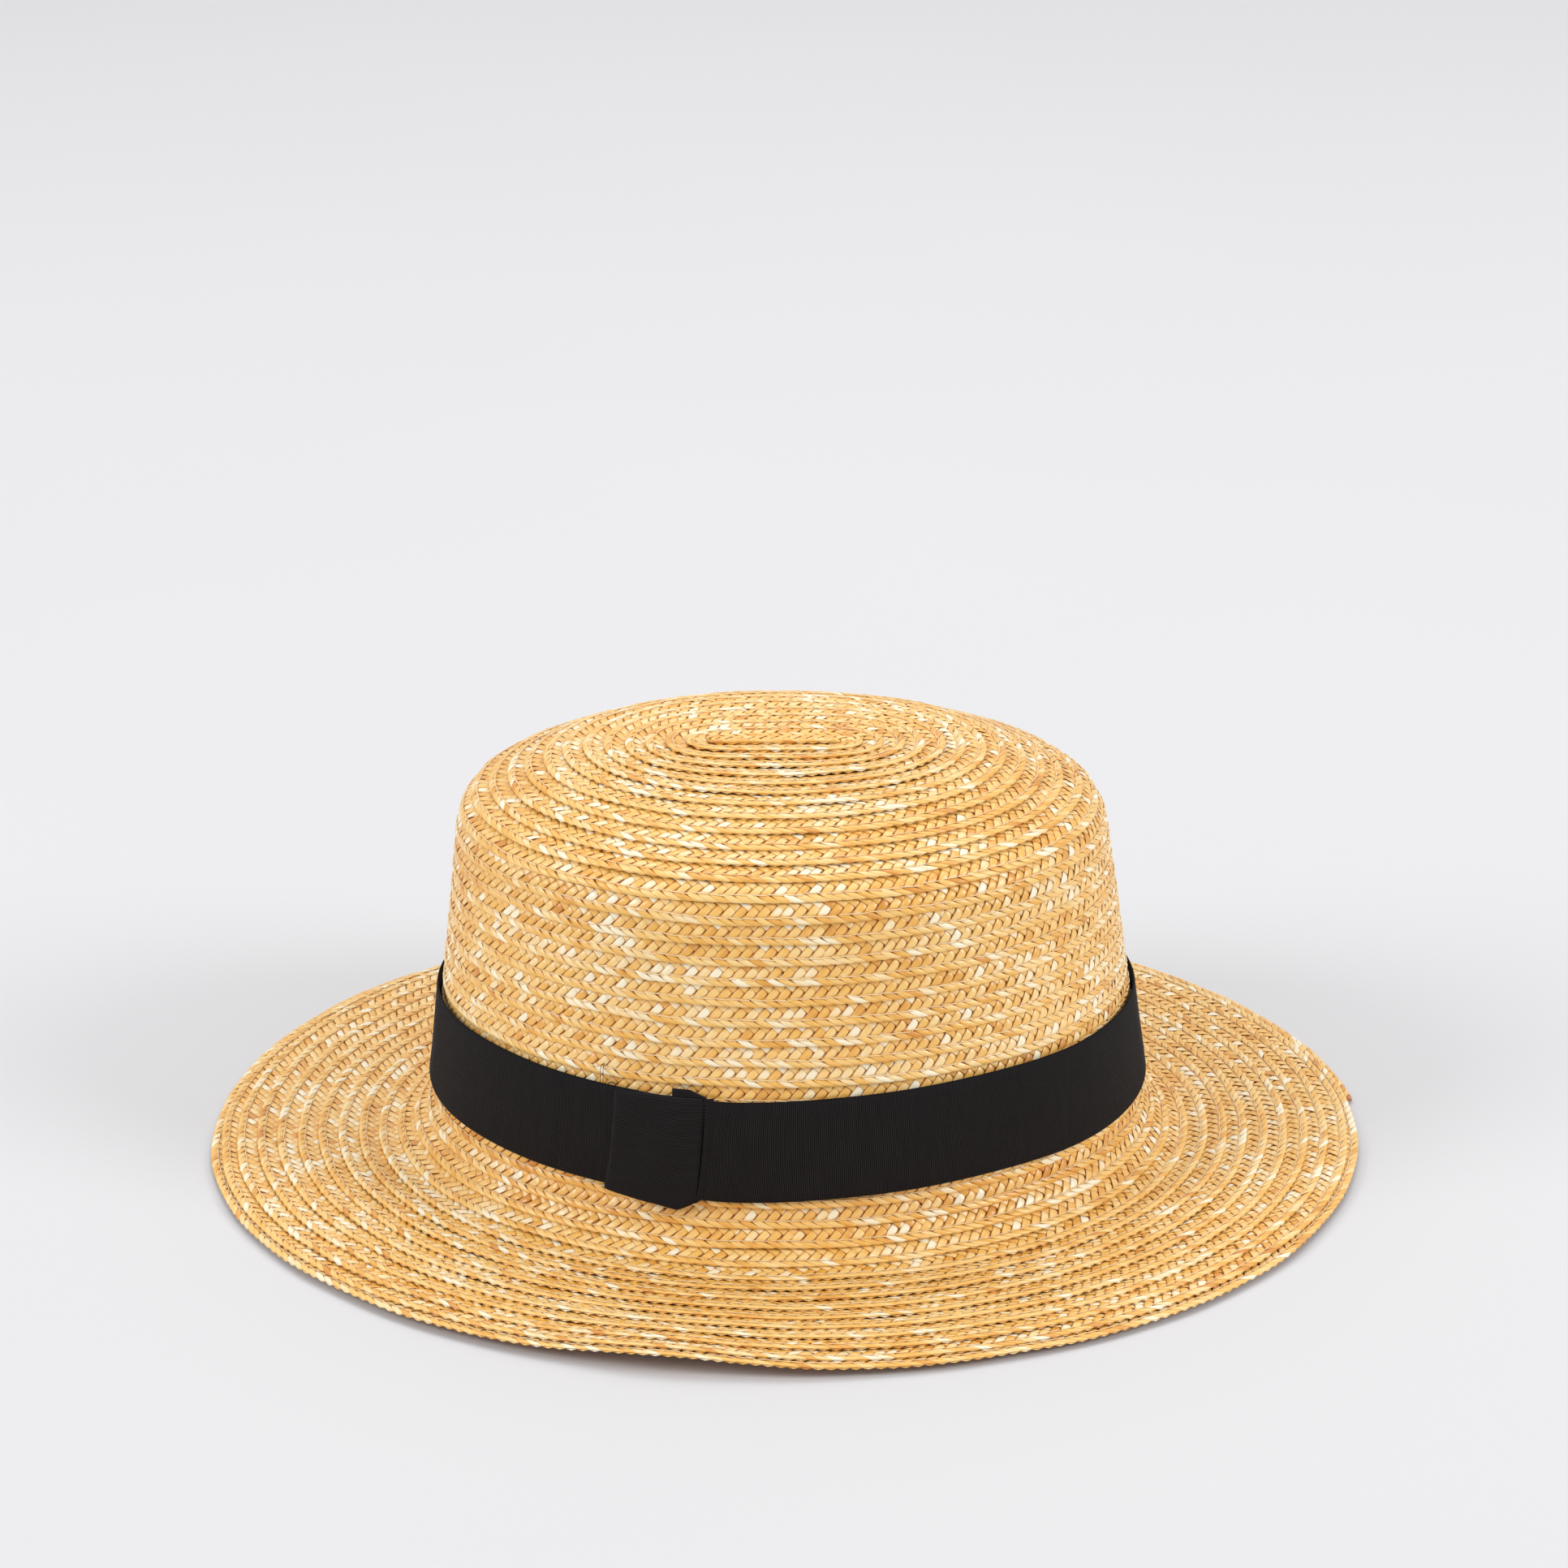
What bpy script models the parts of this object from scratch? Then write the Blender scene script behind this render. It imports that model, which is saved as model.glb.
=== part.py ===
"""Straw sun hat (canotier), modelled in metres with +Z up and its brim edge standing on z = 0.

The hat is one long straw plait, sewn edge over edge in an oval spiral from the middle of the
tip down to the brim edge. Each full turn of that spiral is a course, and the plait's start and
each course are objects of their own, which end where the next one starts. A ribbon with an
upright tab covers the foot of the crown outside, and a sweatband lines it inside. The wearer
faces -X, and the tab is on the wearer's left, at -Y.
"""

import math

import bmesh
import bpy

MM = 0.001

# Plait and sewing
PLAIT_WIDTH = 7.4 * MM
PLAIT_THICKNESS = 1.0 * MM
PITCH = 5.7 * MM                      # from one course's outer edge to the next one's
LAYER_STEP = 1.3 * MM                 # how far each course lies below the one before it
FIT_GAP = 0.3 * MM                    # left between pieces that touch
SEAM_AZIMUTH = math.radians(6.0)      # where every course starts, at the wearer's back
SEGMENTS = 28                         # flat stretches in one full turn

# Plan: ovals that grow round a short straight start
START_HALF_LENGTH = 17.0 * MM
OVAL_STRAIGHTNESS = 0.3               # how straight the long sides stay far out
START_STRAIGHTNESS = 2.7              # and how much straighter they are in the middle
STRAIGHTNESS_REACH = 20.0 * MM
PLAN_SHIFT = (-0.51 * MM, -0.53 * MM)  # centres the outline: the spiral ends wider than it starts

# Meridian, from the middle of the tip outward: (length, turn downward) of each stretch
TIP_FLAT = 33.0 * MM
TIP_FLAT_TURN = math.radians(3.5)
TIP_BEND = 20.0 * MM
TIP_BEND_TURN = math.radians(23.0)
TIP_SLOPE = 14.0 * MM
TIP_SLOPE_TURN = math.radians(-3.7)
SHOULDER_RADIUS = 13.4 * MM
SHOULDER_TURN = math.radians(60.0)
WALL_LENGTH = 80.5 * MM
WALL_ANGLE = TIP_FLAT_TURN + TIP_BEND_TURN + TIP_SLOPE_TURN + SHOULDER_TURN
BREAK_RADIUS = 16.0 * MM
BRIM_FLAT = 31.0 * MM
BRIM_DROOP_LENGTH = 20.0 * MM
BRIM_DROOP = math.radians(11.5)
MERIDIAN = (
    (TIP_FLAT, TIP_FLAT_TURN),
    (TIP_BEND, TIP_BEND_TURN),
    (TIP_SLOPE, TIP_SLOPE_TURN),
    (SHOULDER_RADIUS * SHOULDER_TURN, SHOULDER_TURN),
    (WALL_LENGTH, 0.0),
    (BREAK_RADIUS * WALL_ANGLE, -WALL_ANGLE),
    (BRIM_FLAT, 0.0),
    (BRIM_DROOP_LENGTH, BRIM_DROOP),
)

# Courses, counted outward along the spiral: (name, how many, samples across one course)
COURSE_GROUPS = (
    ("tip_course", 11, 2),
    ("shoulder_course", 4, 3),
    ("wall_course", 12, 2),
    ("brim_break_course", 5, 3),
    ("brim_course", 8, 2),
)
FIRST_EDGE = 6.1 * MM                 # outer edge of the first course, at its start
START_SLIT = 0.2 * MM                 # half the slit left in the middle of the tip
START_TURNS = 0.8                     # the plait's narrow start, before the first course
START_SECTIONS = 18
LAST_COURSE_GROWTH = 3.0 * MM         # the last turn runs out slower than the pitch
EDGE_COURSE_GROWTH = 2.3 * MM         # the doubled edge runs out slower still
EDGE_REST_WIDTH = 2.5 * MM            # strip of the doubled edge that stands on the table

# Ribbon, tab and sweatband, by distance along the meridian
RIBBON_TOP = 129.3 * MM
RIBBON_WIDTH = 28.5 * MM
RIBBON_THICKNESS = 0.6 * MM
TAB_AZIMUTH = math.radians(-110.0)
TAB_WIDTH = 27.5 * MM
SWEATBAND_TOP = 133.0 * MM
SWEATBAND_WIDTH = 28.0 * MM
SWEATBAND_THICKNESS = 0.5 * MM

# Threads
THREAD_RADIUS = 0.25 * MM
EDGE_THREAD_INSET = 2.1 * MM          # from the last course's outer edge to its thread
SWEATBAND_THREAD_INSET = 2.0 * MM     # from the sweatband's lower edge to its thread
TACK_AZIMUTH = math.radians(-122.5)
TACK_HEIGHT = 5.5 * MM
TACK_SPREAD = 1.2 * MM

SLOPE = LAYER_STEP / PITCH
FACE_OFFSET = PLAIT_WIDTH / 2 * SLOPE + PLAIT_THICKNESS / 2
RIBBON_OFFSET = FACE_OFFSET + FIT_GAP
TAB_OFFSET = RIBBON_OFFSET + RIBBON_THICKNESS + FIT_GAP
SWEATBAND_OFFSET = -(FACE_OFFSET + FIT_GAP + SWEATBAND_THICKNESS)
COURSE_COUNT = sum(count for _, count, _ in COURSE_GROUPS)


def meridian(distance):
    """Half width, height below the tip and downward angle at a distance from the tip's middle."""
    half_width, height, angle = 0.0, 0.0, 0.0
    for length, turn in MERIDIAN:
        step = min(distance, length)
        if turn:
            curvature = turn / length
            end = angle + curvature * step
            half_width += (math.sin(end) - math.sin(angle)) / curvature
            height += (math.cos(end) - math.cos(angle)) / curvature
            angle = end
        else:
            half_width += step * math.cos(angle)
            height -= step * math.sin(angle)
        distance -= step
        if distance <= 0.0:
            break
    half_width += distance * math.cos(angle)
    height -= distance * math.sin(angle)
    return half_width, height, angle


def hat_point(distance, azimuth, offset, base=0.0):
    """Point of the hat at a distance along the meridian, an azimuth and an offset outward."""
    half_width, height, angle = meridian(distance)
    half_width += offset * math.sin(angle)
    reach = math.exp(-half_width / STRAIGHTNESS_REACH)
    straightness = OVAL_STRAIGHTNESS + START_STRAIGHTNESS * reach
    cosine = math.cos(azimuth)
    shift = START_HALF_LENGTH * math.tanh(straightness * cosine) / math.tanh(straightness)
    return (PLAN_SHIFT[0] + half_width * cosine + shift,
            PLAN_SHIFT[1] + half_width * math.sin(azimuth),
            base + height + offset * math.cos(angle))


def course_azimuth(turns):
    """Azimuth reached after a number of turns: the spiral runs clockwise seen from above."""
    return SEAM_AZIMUTH - 2.0 * math.pi * turns


def course_middle(turns):
    """Distance of an evenly sewn plait's middle line along the meridian."""
    return FIRST_EDGE - PLAIT_WIDTH / 2 + PITCH * (turns - 1.0)


def course_edge(turns):
    """Distance of the plait's outer edge, which grows more slowly in the last two turns."""
    last = float(COURSE_COUNT)
    edge = FIRST_EDGE + PITCH * (min(turns, last) - 1.0)
    edge += LAST_COURSE_GROWTH * min(max(turns - last, 0.0), 1.0)
    edge += EDGE_COURSE_GROWTH * max(turns - last - 1.0, 0.0)
    return edge


def layer_offset(distance, turns):
    """Offset of the plait's middle layer: each course is tucked under the one before it."""
    return (distance - course_middle(turns)) * SLOPE


def table_height():
    """Height that puts the doubled edge's lowest line on z = 0."""
    turns = COURSE_COUNT + 2.0
    inner = course_edge(turns) - PLAIT_WIDTH
    offset = layer_offset(inner, turns) - PLAIT_THICKNESS / 2
    return -hat_point(inner, SEAM_AZIMUTH, offset)[2]


BASE = table_height()


def on_facets(distance, azimuth, offset):
    """Point on the flat stretch between two course corners, so that strips lie parallel."""
    step = 2.0 * math.pi / SEGMENTS
    place = (SEAM_AZIMUTH - azimuth) / step
    whole = math.floor(place + 1e-9)
    share = max(place - whole, 0.0)
    first = hat_point(distance, SEAM_AZIMUTH - whole * step, offset, BASE)
    second = hat_point(distance, SEAM_AZIMUTH - (whole + 1) * step, offset, BASE)
    return tuple(a + (b - a) * share for a, b in zip(first, second))


def corner_azimuths(start, end):
    """Azimuths of a strip's sections: its two ends and the course corners between them."""
    step = 2.0 * math.pi / SEGMENTS
    first = math.floor((SEAM_AZIMUTH - start) / step + 1e-6) + 1
    last = math.ceil((SEAM_AZIMUTH - end) / step - 1e-6) - 1
    corners = [SEAM_AZIMUTH - k * step for k in range(first, last + 1)]
    return [start] + corners + [end]


def material(name, colour, roughness):
    made = bpy.data.materials.new(name)
    made.use_nodes = True
    shader = made.node_tree.nodes["Principled BSDF"]
    shader.inputs["Base Color"].default_value = (*colour, 1.0)
    shader.inputs["Roughness"].default_value = roughness
    shader.inputs["Metallic"].default_value = 0.0
    return made


def strip_object(name, sections, surface):
    """Closed strip from a row of equal section loops, with both ends filled."""
    shape = bmesh.new()
    loops = [[shape.verts.new(point) for point in section] for section in sections]
    around = len(loops[0])
    for near, far in zip(loops, loops[1:]):
        for k in range(around):
            following = (k + 1) % around
            shape.faces.new((near[k], near[following], far[following], far[k]))
    shape.faces.new(list(reversed(loops[0])))
    shape.faces.new(loops[-1])
    bmesh.ops.recalc_face_normals(shape, faces=shape.faces)
    mesh = bpy.data.meshes.new(name)
    shape.to_mesh(mesh)
    shape.free()
    mesh.materials.append(surface)
    made = bpy.data.objects.new(name, mesh)
    bpy.context.scene.collection.objects.link(made)
    return made


def spread_turns(start, end, count):
    """Evenly spread turn counts, the last one pulled back by the fit gap."""
    step = (end - start) / count
    turns = [start + k * step for k in range(count + 1)]
    here = hat_point(course_middle(end), course_azimuth(end), 0.0)
    before = hat_point(course_middle(end), course_azimuth(end - step), 0.0)
    turns[-1] -= FIT_GAP / math.dist(here, before) * step
    return turns


def course_turns(number):
    """Turn counts of a full course's sections."""
    return spread_turns(float(number), number + 1.0, SEGMENTS)


def course_section(turns, samples):
    """Section of the plait: its outer face from inner to outer edge, then its inner face back."""
    azimuth = course_azimuth(turns)
    edge = course_edge(turns)
    inner = max(edge - PLAIT_WIDTH, START_SLIT)
    spots = [inner + (edge - inner) * k / (samples - 1) for k in range(samples)]
    half = PLAIT_THICKNESS / 2
    outer_face = [hat_point(m, azimuth, layer_offset(m, turns) + half, BASE) for m in spots]
    inner_face = [hat_point(m, azimuth, layer_offset(m, turns) - half, BASE) for m in spots]
    return outer_face + inner_face[::-1]


def build_start(straw):
    """Narrow start of the plait, which fills the middle of the tip."""
    turns = spread_turns(1.0 - START_TURNS, 1.0, START_SECTIONS)
    strip_object("tip_start", [course_section(turn, 2) for turn in turns], straw)


def build_courses(straw):
    number = 0
    for group, count, samples in COURSE_GROUPS:
        for place in range(1, count + 1):
            number += 1
            sections = [course_section(turns, samples) for turns in course_turns(number)]
            strip_object(f"{group}_{place:02d}", sections, straw)


def build_edge_course(straw):
    """Doubled edge under the last course, with a flat strip that stands on the table."""
    sections = []
    for turns in course_turns(COURSE_COUNT + 1):
        azimuth = course_azimuth(turns)
        edge = course_edge(turns)
        inner = edge - PLAIT_WIDTH
        spots = (inner, inner + EDGE_REST_WIDTH, edge)
        half = PLAIT_THICKNESS / 2
        top = [hat_point(m, azimuth, layer_offset(m, turns) + half, BASE) for m in spots]
        bottom = [hat_point(m, azimuth, layer_offset(m, turns) - half, BASE) for m in spots]
        rest = [(x, y, 0.0) for x, y, _ in bottom[:2]]
        sections.append(top + [bottom[2], rest[1], rest[0]])
    strip_object("brim_edge_course", sections, straw)


def flat_band(name, azimuths, top, bottom, offset, thickness, surface):
    """Band of ribbon that follows the crown's wall between two distances along the meridian."""
    sections = []
    for azimuth in azimuths:
        sections.append([
            on_facets(top, azimuth, offset + thickness),
            on_facets(bottom, azimuth, offset + thickness),
            on_facets(bottom, azimuth, offset),
            on_facets(top, azimuth, offset),
        ])
    return strip_object(name, sections, surface)


def full_turn(start):
    """Azimuths of a band that goes once round and stops a fit gap short of its start."""
    half_width = meridian(RIBBON_TOP)[0]
    return corner_azimuths(start, start - 2.0 * math.pi + FIT_GAP / half_width)


def tab_azimuths():
    half_angle = TAB_WIDTH / 2 / (meridian(RIBBON_TOP)[0] + START_HALF_LENGTH / 2)
    return corner_azimuths(TAB_AZIMUTH + half_angle, TAB_AZIMUTH - half_angle)


def build_ribbon_tab(grosgrain):
    """Upright tab of the same ribbon, folded over the band's two edges."""
    top = RIBBON_TOP - FIT_GAP
    bottom = RIBBON_TOP + RIBBON_WIDTH + FIT_GAP
    outside = TAB_OFFSET + RIBBON_THICKNESS
    profile = (
        (top - RIBBON_THICKNESS, outside),
        (bottom + RIBBON_THICKNESS, outside),
        (bottom + RIBBON_THICKNESS, RIBBON_OFFSET),
        (bottom, RIBBON_OFFSET),
        (bottom, TAB_OFFSET),
        (top, TAB_OFFSET),
        (top, RIBBON_OFFSET),
        (top - RIBBON_THICKNESS, RIBBON_OFFSET),
    )
    sections = []
    for azimuth in tab_azimuths():
        sections.append([on_facets(distance, azimuth, offset) for distance, offset in profile])
    strip_object("ribbon_tab", sections, grosgrain)


def thread_section(distance, azimuth, offset, place):
    """Square-on-edge section of a thread that runs round the hat."""
    corners = ((-THREAD_RADIUS, 0.0), (0.0, THREAD_RADIUS), (THREAD_RADIUS, 0.0),
               (0.0, -THREAD_RADIUS))
    return [place(distance + along, azimuth, offset + out) for along, out in corners]


def based_point(distance, azimuth, offset):
    return hat_point(distance, azimuth, offset, BASE)


def build_edge_thread(thread):
    """Thread along the last course, on its outer face."""
    sections = []
    number = COURSE_COUNT
    lift = PLAIT_THICKNESS / 2 + FIT_GAP + THREAD_RADIUS
    for turns in course_turns(number):
        distance = course_edge(turns) - EDGE_THREAD_INSET
        offset = layer_offset(distance, turns) + lift
        sections.append(thread_section(distance, course_azimuth(turns), offset, based_point))
    strip_object("brim_edge_thread", sections, thread)


def build_sweatband_thread(thread):
    """Thread that sews the sweatband's lower edge to the crown, seen on the head side."""
    distance = SWEATBAND_TOP + SWEATBAND_WIDTH - SWEATBAND_THREAD_INSET
    offset = SWEATBAND_OFFSET - FIT_GAP - THREAD_RADIUS
    sections = []
    for azimuth in full_turn(SEAM_AZIMUTH):
        sections.append(thread_section(distance, azimuth, offset, on_facets))
    strip_object("sweatband_thread", sections, thread)


def build_ribbon_tack(thread):
    """Tack beside the tab: one thread up from the ribbon, across and back down to it."""
    low = RIBBON_TOP - FIT_GAP - THREAD_RADIUS
    high = low - TACK_HEIGHT
    spread = TACK_SPREAD / meridian(RIBBON_TOP)[0]
    offset = RIBBON_OFFSET + THREAD_RADIUS
    legs = (TACK_AZIMUTH, TACK_AZIMUTH - spread)
    half = THREAD_RADIUS / meridian(RIBBON_TOP)[0]
    outline = (
        (low, legs[0] + half), (high, legs[0] + half), (high, legs[1] - half),
        (low, legs[1] - half), (low, legs[1] + half),
        (high + 2.0 * THREAD_RADIUS, legs[1] + half),
        (high + 2.0 * THREAD_RADIUS, legs[0] - half), (low, legs[0] - half),
    )
    inside = [on_facets(distance, azimuth, offset) for distance, azimuth in outline]
    outside = [on_facets(distance, azimuth, offset + 2.0 * THREAD_RADIUS)
               for distance, azimuth in outline]
    strip_object("ribbon_tack_thread", [inside, outside], thread)


def main():
    for old in list(bpy.data.objects):
        bpy.data.objects.remove(old, do_unlink=True)
    straw = material("wheat_straw", (0.72, 0.48, 0.17), 0.42)
    grosgrain = material("black_grosgrain", (0.012, 0.011, 0.012), 0.7)
    lining = material("ecru_grosgrain", (0.62, 0.55, 0.42), 0.8)
    cream_thread = material("cream_thread", (0.82, 0.72, 0.5), 0.6)
    black_thread = material("black_thread", (0.01, 0.01, 0.01), 0.6)
    build_start(straw)
    build_courses(straw)
    build_edge_course(straw)
    build_edge_thread(cream_thread)
    ribbon_bottom = RIBBON_TOP + RIBBON_WIDTH
    flat_band("ribbon_band", full_turn(TAB_AZIMUTH), RIBBON_TOP, ribbon_bottom,
              RIBBON_OFFSET, RIBBON_THICKNESS, grosgrain)
    build_ribbon_tab(grosgrain)
    build_ribbon_tack(black_thread)
    flat_band("sweatband", full_turn(SEAM_AZIMUTH), SWEATBAND_TOP,
              SWEATBAND_TOP + SWEATBAND_WIDTH, SWEATBAND_OFFSET, SWEATBAND_THICKNESS, lining)
    build_sweatband_thread(cream_thread)


main()
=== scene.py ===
"""Looks of the straw sun hat: woven wheat plait, sewing thread, grosgrain ribbon and sweatband.

The plait is woven straw by straw along the same spiral as the CAD courses, so each course's
mesh lies where its CAD node lies. Lengths are in metres, in the hat's own frame: +Z up, the
brim edge on z = 0, the wearer facing -X and the ribbon's tab at -Y.
"""

import math

import bpy
import numpy as np
from mathutils import Matrix, Vector


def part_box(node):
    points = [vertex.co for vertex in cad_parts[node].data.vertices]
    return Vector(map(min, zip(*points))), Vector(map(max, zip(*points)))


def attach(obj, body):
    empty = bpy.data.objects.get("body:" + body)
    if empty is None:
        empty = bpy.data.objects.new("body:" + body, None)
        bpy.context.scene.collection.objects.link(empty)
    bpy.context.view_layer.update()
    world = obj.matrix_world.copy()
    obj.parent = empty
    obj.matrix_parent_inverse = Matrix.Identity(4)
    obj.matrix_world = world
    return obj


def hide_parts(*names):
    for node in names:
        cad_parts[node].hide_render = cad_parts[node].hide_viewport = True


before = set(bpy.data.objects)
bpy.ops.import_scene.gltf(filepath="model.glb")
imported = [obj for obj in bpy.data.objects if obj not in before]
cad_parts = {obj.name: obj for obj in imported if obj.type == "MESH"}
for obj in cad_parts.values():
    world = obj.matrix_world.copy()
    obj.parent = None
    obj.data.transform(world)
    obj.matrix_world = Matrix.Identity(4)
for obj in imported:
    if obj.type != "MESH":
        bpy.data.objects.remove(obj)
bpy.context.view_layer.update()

MM = 0.001
BODY = "root"
EXPORT_UV = "OFBake"                  # a map of this name is kept by the export

# Hat shape, as in the CAD model
PLAIT_WIDTH = 7.4 * MM
PITCH = 5.7 * MM
LAYER_STEP = 1.3 * MM
SLOPE = LAYER_STEP / PITCH
SEAM_AZIMUTH = math.radians(6.0)
START_HALF_LENGTH = 17.0 * MM
OVAL_STRAIGHTNESS = 0.3
START_STRAIGHTNESS = 2.7
STRAIGHTNESS_REACH = 20.0 * MM
WALL_ANGLE = math.radians(82.8)
MERIDIAN = (
    (33.0 * MM, math.radians(3.5)),
    (20.0 * MM, math.radians(23.0)),
    (14.0 * MM, math.radians(-3.7)),
    (13.4 * MM * math.radians(60.0), math.radians(60.0)),
    (80.5 * MM, 0.0),
    (16.0 * MM * WALL_ANGLE, -WALL_ANGLE),
    (31.0 * MM, 0.0),
    (20.0 * MM, math.radians(11.5)),
)
COURSE_GROUPS = (
    ("tip_course", 11),
    ("shoulder_course", 4),
    ("wall_course", 12),
    ("brim_break_course", 5),
    ("brim_course", 8),
)
COURSE_COUNT = sum(count for _, count in COURSE_GROUPS)
FIRST_EDGE = 6.1 * MM
START_SLIT = 0.2 * MM
START_TURNS = 0.8
LAST_COURSE_GROWTH = 3.0 * MM
EDGE_COURSE_GROWTH = 2.3 * MM

# Ribbon and sweatband, by distance along the meridian and offset from the crown's surface
RIBBON_TOP = 129.3 * MM
RIBBON_WIDTH = 28.5 * MM
RIBBON_OFFSET = 1.7 * MM
RIBBON_THICKNESS = 0.5 * MM
TAB_AZIMUTH = math.radians(-110.0)
SWEATBAND_TOP = 133.0 * MM
SWEATBAND_WIDTH = 28.0 * MM
SWEATBAND_OFFSET = -1.75 * MM
SWEATBAND_THICKNESS = 0.4 * MM

# Straws of the plait
STRAW_SPACING = 3.2 * MM              # along the plait, between straws that lean the same way
WEAVE_HEIGHT = 0.21 * MM              # how far a straw rises and dips over its neighbours
STRAW_HALF_THICKNESS = 0.22 * MM
STRAW_TILT = 0.075 * MM               # usual height of one edge of a straw over its middle
STRAW_SLIP = 0.13 * MM                # usual shift of a straw along the plait
EDGE_WRAP = 0.40                      # how far straws lean over at the edge, in straw spacings
FOLD_BULGE = 0.16 * MM                # how far a straw's fold stands out at the plait's edge
INNER_EDGE_DROP = 0.42 * MM           # how far the plait's edges curl towards the head
OUTER_EDGE_DROP = 0.60 * MM
EDGE_THICKENING = 0.18 * MM           # a straw's fold is rounder than its flat run
STITCH_DINT = 0.14 * MM               # how deep the sewing thread pulls into the straw
STITCH_DINT_WIDTH = 0.5 * MM
STITCH_INSET = 2.1 * MM               # from the plait's outer edge to the sewing thread
STITCH_LENGTH = 4.7 * MM
THREAD_RADIUS = 0.15 * MM

# Parts of the UV maps: free rim of a tile, and how many strips a long piece is laid in
UV_MARGIN = 0.03
THREAD_UV_STRIPS = 200
BAND_UV_STRIPS = 16

rng = np.random.default_rng(7)


# ---------------------------------------------------------------- hat surface

def meridian(distance):
    """Half width, height and downward angle at distances from the middle of the tip."""
    distance = np.asarray(distance, float)
    half_width = np.zeros_like(distance)
    height = np.zeros_like(distance)
    angle = np.zeros_like(distance)
    left = distance.copy()
    for length, turn in MERIDIAN:
        step = np.clip(left, 0.0, length)
        if turn:
            curvature = turn / length
            end = angle + curvature * step
            half_width += (np.sin(end) - np.sin(angle)) / curvature
            height += (np.cos(end) - np.cos(angle)) / curvature
            angle = end
        else:
            half_width += step * np.cos(angle)
            height -= step * np.sin(angle)
        left = left - step
    half_width += left * np.cos(angle)
    height -= left * np.sin(angle)
    return half_width, height, angle


def plain_point(distance, azimuth, offset):
    """Points of the undistorted hat, before it is set down on the CAD frame."""
    half_width, height, angle = meridian(distance)
    half_width = half_width + offset * np.sin(angle)
    reach = np.exp(-np.maximum(half_width, 0.0) / STRAIGHTNESS_REACH)
    straightness = OVAL_STRAIGHTNESS + START_STRAIGHTNESS * reach
    cosine = np.cos(azimuth)
    shift = START_HALF_LENGTH * np.tanh(straightness * cosine) / np.tanh(straightness)
    return np.stack([half_width * cosine + shift, half_width * np.sin(azimuth),
                     height + offset * np.cos(angle)], axis=-1)


def course_middle(turns):
    """Distance of an evenly sewn plait's middle line along the meridian."""
    return FIRST_EDGE - PLAIT_WIDTH / 2 + PITCH * (turns - 1.0)


def course_edge(turns):
    """Distance of the plait's outer edge, which grows more slowly in the last two turns."""
    last = float(COURSE_COUNT)
    edge = FIRST_EDGE + PITCH * (np.minimum(turns, last + 1.0) - 1.0)
    edge = edge - (PITCH - LAST_COURSE_GROWTH) * np.clip(turns - last, 0.0, 1.0)
    return edge + EDGE_COURSE_GROWTH * np.maximum(turns - last - 1.0, 0.0)


def azimuth_of(turns):
    return SEAM_AZIMUTH - 2.0 * math.pi * turns


def frame_shift():
    """Where the CAD frame puts the hat: from the box of one course halfway down the wall."""
    number = COURSE_GROUPS[0][1] + COURSE_GROUPS[1][1] + 6
    turns = np.linspace(number, number + 1.0, 720)
    corners = []
    for side in (-0.5, 0.5):
        distance = course_middle(turns) + side * PLAIT_WIDTH
        offset = side * PLAIT_WIDTH * SLOPE
        corners.append(plain_point(distance, azimuth_of(turns), offset))
    points = np.concatenate(corners)
    low, high = (np.array(corner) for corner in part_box("wall_course_06"))
    return (low + high) / 2 - (points.min(axis=0) + points.max(axis=0)) / 2


SHIFT = frame_shift()


def wave(azimuth, counts, phases, shares):
    """Smooth closed wave round the hat."""
    return sum(share * np.sin(count * azimuth + phase)
               for count, phase, share in zip(counts, phases, shares))


def bump_at(azimuth, middle, spread):
    """Smooth bump of height 1 round one azimuth, both in degrees."""
    away = (np.degrees(azimuth) - middle + 180.0) % 360.0 - 180.0
    return np.exp(-(away / spread) ** 2)


def bumps(azimuth, rows):
    """Sum of smooth bumps, each given as (height, middle, spread)."""
    return sum(height * bump_at(azimuth, middle, spread) for height, middle, spread in rows)


CROWN_LEAN = 0.021                    # sideways per height
LEAN_FOOT = float(meridian(150 * MM)[1])

# Wear of the brim in millimetres at its edge: how much further out it reaches, and how high
REACH_BUMPS = ((1.3, -160.0, 20.0), (0.8, -42.0, 22.0), (-1.1, 35.0, 30.0))
LIFT = 0.45
LIFT_BUMPS = ((1.3, -107.0, 26.0), (3.4, -101.0, 11.0))


def hat_point(distance, azimuth, offset):
    """Points of the worn-in hat: the crown leans a little and the brim is slightly uneven."""
    down_wall = np.clip((distance - 60 * MM) / (30 * MM), 0.0, 1.0)
    before_break = np.clip((175 * MM - distance) / (30 * MM), 0.0, 1.0)
    uneven = wave(azimuth + distance * 6.0, (3, 5, 7), (0.4, 2.0, 4.4), (0.22, 0.14, 0.10))
    brim = np.clip((distance - 180 * MM) / (55 * MM), 0.0, 1.0) ** 2
    points = plain_point(distance + bumps(azimuth, REACH_BUMPS) * brim * MM, azimuth,
                         offset + uneven * MM * down_wall * before_break)
    lift = LIFT + bumps(azimuth, LIFT_BUMPS) + wave(azimuth, (5, 8), (1.0, 0.3), (0.12, 0.08))
    points[..., 2] += lift * brim * MM
    points[..., 0] -= CROWN_LEAN * np.maximum(points[..., 2] - LEAN_FOOT, 0.0)
    return points + SHIFT


# ---------------------------------------------------------------- spiral of the plait

STEPS_PER_TURN = 240


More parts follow.
